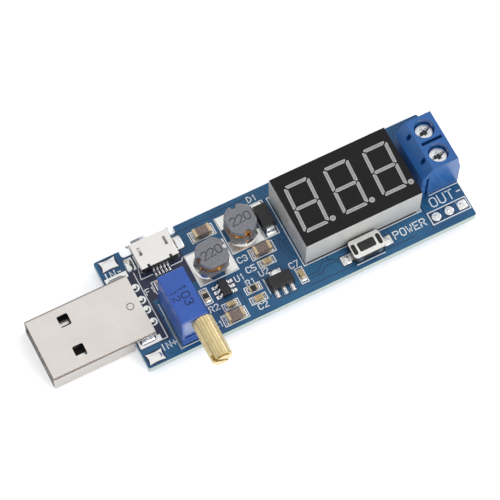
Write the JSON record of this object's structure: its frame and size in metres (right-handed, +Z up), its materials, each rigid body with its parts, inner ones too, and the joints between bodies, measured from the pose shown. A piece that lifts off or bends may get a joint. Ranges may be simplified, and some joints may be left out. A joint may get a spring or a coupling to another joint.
{
  "type": "usb supply board with voltage meter",
  "caption": "Bare circuit board with a USB plug, micro USB socket, trimmer with brass knob, digit display, push button and screw terminals.",
  "frame": {"origin": "under the middle of the object's outline, on the surface it lies on", "axes": "+X from the USB plug towards the screw terminals, +Y from the knob side towards the micro socket side, +Z up out of the component side"},
  "size_m": [0.0794, 0.0288, 0.013],
  "materials": {
    "board": "blue solder mask on glass-fibre laminate",
    "tin": "bright tin plate",
    "solder": "smooth solder",
    "plug_steel": "satin nickel plate",
    "socket_steel": "satin nickel plate",
    "switch_steel": "bright pressed sheet",
    "contact_plate": "thin gold plate",
    "black_plastic": "moulded",
    "plunger_black": "moulded, fine grain",
    "trimmer_blue": "moulded, satin",
    "resin": "cast resin",
    "alumina": "fired ceramic",
    "steel": "machined",
    "screw_steel": "bright zinc plate",
    "rubber": "moulded",
    "brass": "turned and fluted",
    "white_plastic": "moulded",
    "ceramic_brown": "fired ceramic",
    "ceramic_beige": "fired ceramic",
    "chip_tin": "dull tin plate",
    "resistor_black": "glazed",
    "fuse_green": "glazed",
    "ferrite": "pressed and sintered",
    "copper": "enamelled wire",
    "mould_black": "moulded epoxy",
    "inner_board": "laminate",
    "segment_white": "diffusing resin",
    "display_black": "printed",
    "display_grey": "moulded",
    "terminal_blue": "moulded, satin"
  },
  "bodies": {
    "board": {"circuit_board": "board", "controller_body": "mould_black", "controller_leads": "tin", "converter_body": "mould_black", "converter_leads": "tin", "diode_body": "mould_black", "diode_leads": "tin", "display_board": "inner_board", "display_chips": "alumina", "display_face": "display_black", "display_pins": "tin", "display_potting": "resin", "display_segments": "segment_white", "display_shell": "display_grey", "fuse_body": "fuse_green", "fuse_ends": "chip_tin", "inductor_1_core": "ferrite", "inductor_1_terminals": "tin", "inductor_1_winding": "copper", "inductor_2_core": "ferrite", "inductor_2_terminals": "tin", "inductor_2_winding": "copper", "large_capacitor_bodies": "ceramic_brown", "large_capacitor_ends": "chip_tin", "micro_contacts": "contact_plate", "micro_insert": "black_plastic", "micro_shell": "socket_steel", "plug_contacts": "contact_plate", "plug_shell": "plug_steel", "plug_tongue": "black_plastic", "regulator_body": "mould_black", "regulator_leads": "tin", "resistor_bodies": "resistor_black", "resistor_ends": "chip_tin", "small_capacitor_bodies": "ceramic_beige", "small_capacitor_ends": "chip_tin", "solder_joints": "solder", "solder_pads": "tin", "switch_base": "black_plastic", "switch_cover": "switch_steel", "switch_dome": "steel", "switch_terminals": "tin", "terminal_cage_1": "tin", "terminal_cage_2": "tin", "terminal_housing": "terminal_blue", "trimmer_element": "alumina", "trimmer_housing": "trimmer_blue", "trimmer_pins": "tin", "trimmer_potting": "resin", "trimmer_seal": "rubber"},
    "knob": {"trimmer_knob": "brass", "trimmer_screw": "steel"},
    "rotor": {"trimmer_rotor": "white_plastic", "trimmer_wiper": "contact_plate"},
    "button": {"switch_plunger": "plunger_black"},
    "clamp_1": {"clamp_plate_1": "steel"},
    "screw_1": {"terminal_screw_1": "screw_steel"},
    "clamp_2": {"clamp_plate_2": "steel"},
    "screw_2": {"terminal_screw_2": "screw_steel"}
  },
  "joints": [
    {"name": "knob_turn", "type": "hinge", "parent": "board", "child": "knob", "pos_m": [-0.01359, -0.00945, 0.0111], "axis": [0, 1, 0], "range_deg": [-3690, 5310]},
    {"name": "rotor_turn", "type": "hinge", "parent": "board", "child": "rotor", "pos_m": [-0.01359, -0.00123, 0.00749], "axis": [1, 0, 0], "range_deg": [-111.9, 161]},
    {"name": "button_press", "type": "slide", "parent": "board", "child": "button", "axis": [0, 0, -1], "range_m": [0, 0.00025], "stiffness_N_per_m": 3000, "deforming": ["switch_dome"]},
    {"name": "plate_1_slide", "type": "slide", "parent": "board", "child": "clamp_1", "axis": [0, 0, -1], "range_m": [0, 0.002]},
    {"name": "screw_1_turn", "type": "hinge", "parent": "clamp_1", "child": "screw_1", "pos_m": [0.03643, 0.00223, 0.0116], "axis": [0, 0, -1], "range_deg": [0, 1441]},
    {"name": "plate_2_slide", "type": "slide", "parent": "board", "child": "clamp_2", "axis": [0, 0, -1], "range_m": [0, 0.002]},
    {"name": "screw_2_turn", "type": "hinge", "parent": "clamp_2", "child": "screw_2", "pos_m": [0.03643, 0.00731, 0.0116], "axis": [0, 0, -1], "range_deg": [0, 1441]}
  ],
  "couplings": [
    {"joint": "rotor_turn", "follows": "knob_turn", "ratio": 0.030303},
    {"joint": "screw_1_turn", "follows": "plate_1_slide", "rad_per_m": 12566},
    {"joint": "screw_2_turn", "follows": "plate_2_slide", "rad_per_m": 12566}
  ]
}
